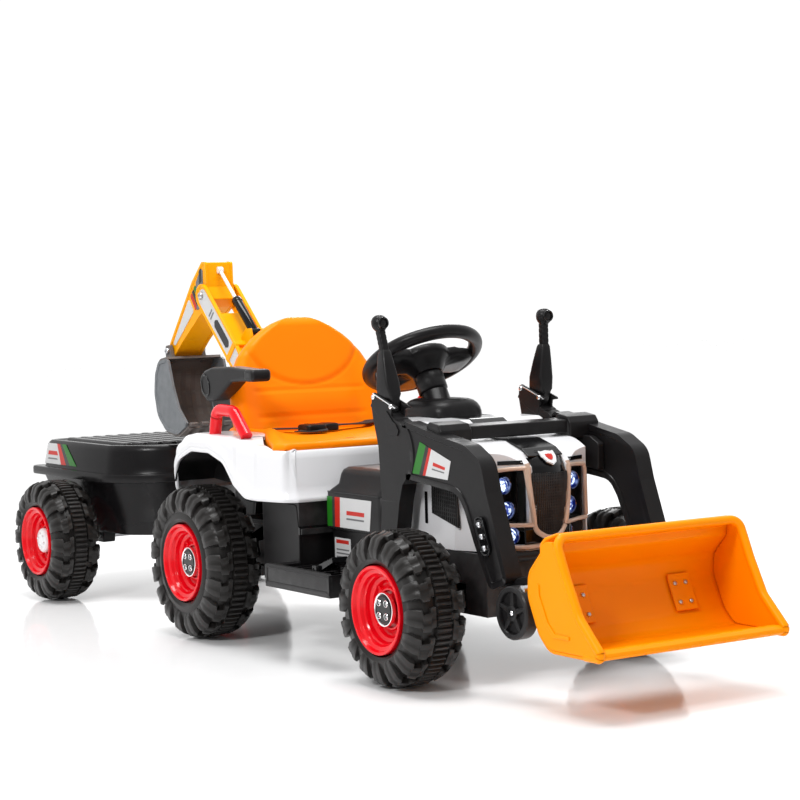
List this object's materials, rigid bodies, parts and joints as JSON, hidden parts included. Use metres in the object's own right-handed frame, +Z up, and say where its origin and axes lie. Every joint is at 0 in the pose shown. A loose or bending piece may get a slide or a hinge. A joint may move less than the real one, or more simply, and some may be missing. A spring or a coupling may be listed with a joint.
{
  "type": "ride-on digger",
  "caption": "Child's electric ride-on tractor with a front loader bucket, a rear digger arm and a towed covered trailer on chunky wheels.",
  "frame": {"origin": "on the ground, under the middle of the overall box", "axes": "+X forwards along the toy's length, +Y to the driver's left, +Z up"},
  "size_m": [1.861, 0.518, 0.648],
  "materials": {
    "chassis_black": "satin fine grain",
    "tyre_black": "satin, blow-moulded",
    "rim_red": "gloss",
    "cap_black": "gloss",
    "cap_white": "gloss",
    "body_white": "gloss",
    "seat_orange": "semi-gloss",
    "bucket_orange": "semi-gloss",
    "boom_yellow": "semi-gloss",
    "rail_red": "gloss",
    "webbing": "woven",
    "axle_steel": "drawn bar",
    "rod_white": "gloss",
    "lamp_clear": "clear",
    "lamp_silver": "vacuum metallised",
    "grille_white": "gloss",
    "trailer_black": "satin",
    "bucket_grey": "satin"
  },
  "bodies": {
    "tractor": {"chassis_pan": "chassis_black", "rear_body": "body_white", "seat": "seat_orange", "seat_belt": "webbing", "side_rails": "rail_red", "hood": "body_white", "grille": "grille_white", "lamp_housings": "lamp_silver", "lamp_lenses": "lamp_clear", "cowl": "chassis_black", "centre_console": "chassis_black", "loader_posts": "chassis_black", "battery": "chassis_black", "drive_gearboxes": "chassis_black", "front_axle_beam": "axle_steel", "rear_axle": "axle_steel"},
    "steering": {"steering_wheel": "chassis_black"},
    "horn": {"horn_button": "cap_black"},
    "tie_rod_body": {"tie_rod": "axle_steel"},
    "knuckle_left_body": {"knuckle_left": "axle_steel"},
    "knuckle_right_body": {"knuckle_right": "axle_steel"},
    "armrest_left_body": {"armrest_left": "chassis_black"},
    "armrest_right_body": {"armrest_right": "chassis_black"},
    "pedal_body": {"pedal": "chassis_black"},
    "loader": {"loader_arms": "chassis_black", "loader_crossbar": "chassis_black"},
    "loader_bucket": {"bucket": "bucket_orange", "bucket_brackets": "chassis_black"},
    "lever_left_body": {"lever_left": "chassis_black"},
    "lever_right_body": {"lever_right": "chassis_black"},
    "guard_left": {"guard_wheel_left": "chassis_black"},
    "guard_right": {"guard_wheel_right": "chassis_black"},
    "trailer": {"trailer_box": "trailer_black", "trailer_lid": "trailer_black", "trailer_drawbar": "trailer_black", "trailer_axle": "axle_steel"},
    "turret": {"digger_turret": "chassis_black"},
    "boom_body": {"boom": "boom_yellow"},
    "stick_body": {"stick": "boom_yellow"},
    "digger_bucket_body": {"digger_bucket": "bucket_grey"},
    "barrel": {"cylinder_barrel": "chassis_black"},
    "rod": {"cylinder_rod": "rod_white"},
    "wheel_front_right": {"tyre_front_right": "tyre_black", "rim_front_right": "rim_red", "hub_cap_front_right": "cap_black"},
    "wheel_front_left": {"tyre_front_left": "tyre_black", "rim_front_left": "rim_red", "hub_cap_front_left": "cap_black"},
    "wheel_rear_right": {"tyre_rear_right": "tyre_black", "rim_rear_right": "rim_red", "hub_cap_rear_right": "cap_black"},
    "wheel_rear_left": {"tyre_rear_left": "tyre_black", "rim_rear_left": "rim_red", "hub_cap_rear_left": "cap_black"},
    "wheel_trailer_right": {"tyre_trailer_right": "tyre_black", "rim_trailer_right": "rim_red", "hub_cap_trailer_right": "cap_white"},
    "wheel_trailer_left": {"tyre_trailer_left": "tyre_black", "rim_trailer_left": "rim_red", "hub_cap_trailer_left": "cap_white"}
  },
  "joints": [
    {"name": "steering_turn", "type": "hinge", "parent": "tractor", "child": "steering", "pos_m": [0.2788, 0, 0.4724], "axis": [-0.5, 0, 0.866], "range_deg": [-30, 30]},
    {"name": "horn_press", "type": "slide", "parent": "steering", "child": "horn", "axis": [0.5, 0, -0.866], "range_m": [0, 0.002], "stiffness_N_per_m": 400, "springref_m": -0.003},
    {"name": "tie_rod_shift", "type": "slide", "parent": "tractor", "child": "tie_rod_body", "axis": [0, 1, 0], "range_m": [-0.0145, 0.0145]},
    {"name": "knuckle_left_steer", "type": "hinge", "parent": "tractor", "child": "knuckle_left_body", "pos_m": [0.52, 0.14, 0.117], "axis": [0, 0, 1], "range_deg": [-15, 15]},
    {"name": "knuckle_right_steer", "type": "hinge", "parent": "tractor", "child": "knuckle_right_body", "pos_m": [0.52, -0.14, 0.117], "axis": [0, 0, 1], "range_deg": [-15, 15]},
    {"name": "wheel_front_left_roll", "type": "hinge", "parent": "knuckle_left_body", "child": "wheel_front_left", "pos_m": [0.52, 0.211, 0.117], "axis": [0, 1, 0], "continuous": true},
    {"name": "wheel_front_right_roll", "type": "hinge", "parent": "knuckle_right_body", "child": "wheel_front_right", "pos_m": [0.52, -0.211, 0.117], "axis": [0, 1, 0], "continuous": true},
    {"name": "wheel_rear_left_roll", "type": "hinge", "parent": "tractor", "child": "wheel_rear_left", "pos_m": [-0.092, 0.211, 0.131], "axis": [0, 1, 0], "continuous": true},
    {"name": "wheel_rear_right_roll", "type": "hinge", "parent": "tractor", "child": "wheel_rear_right", "pos_m": [-0.092, -0.211, 0.131], "axis": [0, 1, 0], "continuous": true},
    {"name": "armrest_left_lift", "type": "hinge", "parent": "tractor", "child": "armrest_left_body", "pos_m": [-0.101, 0.15, 0.428], "axis": [0, -1, 0], "range_deg": [0, 75]},
    {"name": "armrest_right_lift", "type": "hinge", "parent": "tractor", "child": "armrest_right_body", "pos_m": [-0.101, -0.15, 0.428], "axis": [0, -1, 0], "range_deg": [0, 75]},
    {"name": "pedal_press", "type": "hinge", "parent": "tractor", "child": "pedal_body", "pos_m": [0.304, -0.207, 0.1535], "axis": [0, 1, 0], "range_deg": [0, 12], "stiffness_Nm_per_rad": 1.5, "springref_deg": -11.46},
    {"name": "loader_lift", "type": "hinge", "parent": "tractor", "child": "loader", "pos_m": [0.415, 0, 0.335], "axis": [0, -1, 0], "range_deg": [0, 30]},
    {"name": "lever_right_pull", "type": "hinge", "parent": "tractor", "child": "lever_right_body", "pos_m": [0.396, -0.141, 0.388], "axis": [0, -1, 0], "range_deg": [0, 30]},
    {"name": "bucket_tilt", "type": "hinge", "parent": "loader", "child": "loader_bucket", "pos_m": [0.746, 0, 0.16], "axis": [0, -1, 0], "range_deg": [-25, 35]},
    {"name": "lever_left_pull", "type": "hinge", "parent": "tractor", "child": "lever_left_body", "pos_m": [0.396, 0.141, 0.388], "axis": [0, -1, 0], "range_deg": [-20, 28]},
    {"name": "guard_wheel_left_roll", "type": "hinge", "parent": "loader", "child": "guard_left", "pos_m": [0.73, 0.154, 0.127], "axis": [0, 1, 0], "continuous": true},
    {"name": "guard_wheel_right_roll", "type": "hinge", "parent": "loader", "child": "guard_right", "pos_m": [0.73, -0.154, 0.127], "axis": [0, 1, 0], "continuous": true},
    {"name": "trailer_yaw", "type": "hinge", "parent": "tractor", "child": "trailer", "pos_m": [-0.24, 0, 0.12], "axis": [0, 0, 1], "range_deg": [-25, 25]},
    {"name": "wheel_trailer_left_roll", "type": "hinge", "parent": "trailer", "child": "wheel_trailer_left", "pos_m": [-0.707, 0.211, 0.117], "axis": [0, 1, 0], "continuous": true},
    {"name": "wheel_trailer_right_roll", "type": "hinge", "parent": "trailer", "child": "wheel_trailer_right", "pos_m": [-0.707, -0.211, 0.117], "axis": [0, 1, 0], "continuous": true},
    {"name": "digger_swing", "type": "hinge", "parent": "tractor", "child": "turret", "pos_m": [-0.222, 0, 0.358], "axis": [0, 0, 1], "range_deg": [-60, 60]},
    {"name": "boom_raise", "type": "hinge", "parent": "turret", "child": "boom_body", "pos_m": [-0.222, 0, 0.41], "axis": [0, 1, 0], "range_deg": [-3, 25]},
    {"name": "stick_swing", "type": "hinge", "parent": "boom_body", "child": "stick_body", "pos_m": [-0.405, 0, 0.585], "axis": [0, 1, 0], "range_deg": [-15, 25]},
    {"name": "digger_bucket_curl", "type": "hinge", "parent": "stick_body", "child": "digger_bucket_body", "pos_m": [-0.546, 0, 0.48], "axis": [0, 1, 0], "range_deg": [-30, 22]},
    {"name": "cylinder_tilt", "type": "hinge", "parent": "boom_body", "child": "barrel", "pos_m": [-0.27, 0, 0.515], "axis": [0, 1, 0], "range_deg": [-6, 6]},
    {"name": "rod_extend", "type": "slide", "parent": "barrel", "child": "rod", "axis": [-0.7301, 0, 0.6834], "range_m": [-0.02, 0.013]}
  ],
  "couplings": [
    {"joint": "tie_rod_shift", "follows": "steering_turn", "m_per_rad": -0.0198},
    {"joint": "knuckle_left_steer", "follows": "steering_turn", "ratio": 0.4},
    {"joint": "knuckle_right_steer", "follows": "steering_turn", "ratio": 0.4},
    {"joint": "lever_right_pull", "follows": "loader_lift", "ratio": 1},
    {"joint": "lever_left_pull", "follows": "bucket_tilt", "ratio": 0.8},
    {"joint": "cylinder_tilt", "follows": "stick_swing", "ratio": 0.145},
    {"joint": "rod_extend", "follows": "stick_swing", "m_per_rad": -0.0411}
  ]
}
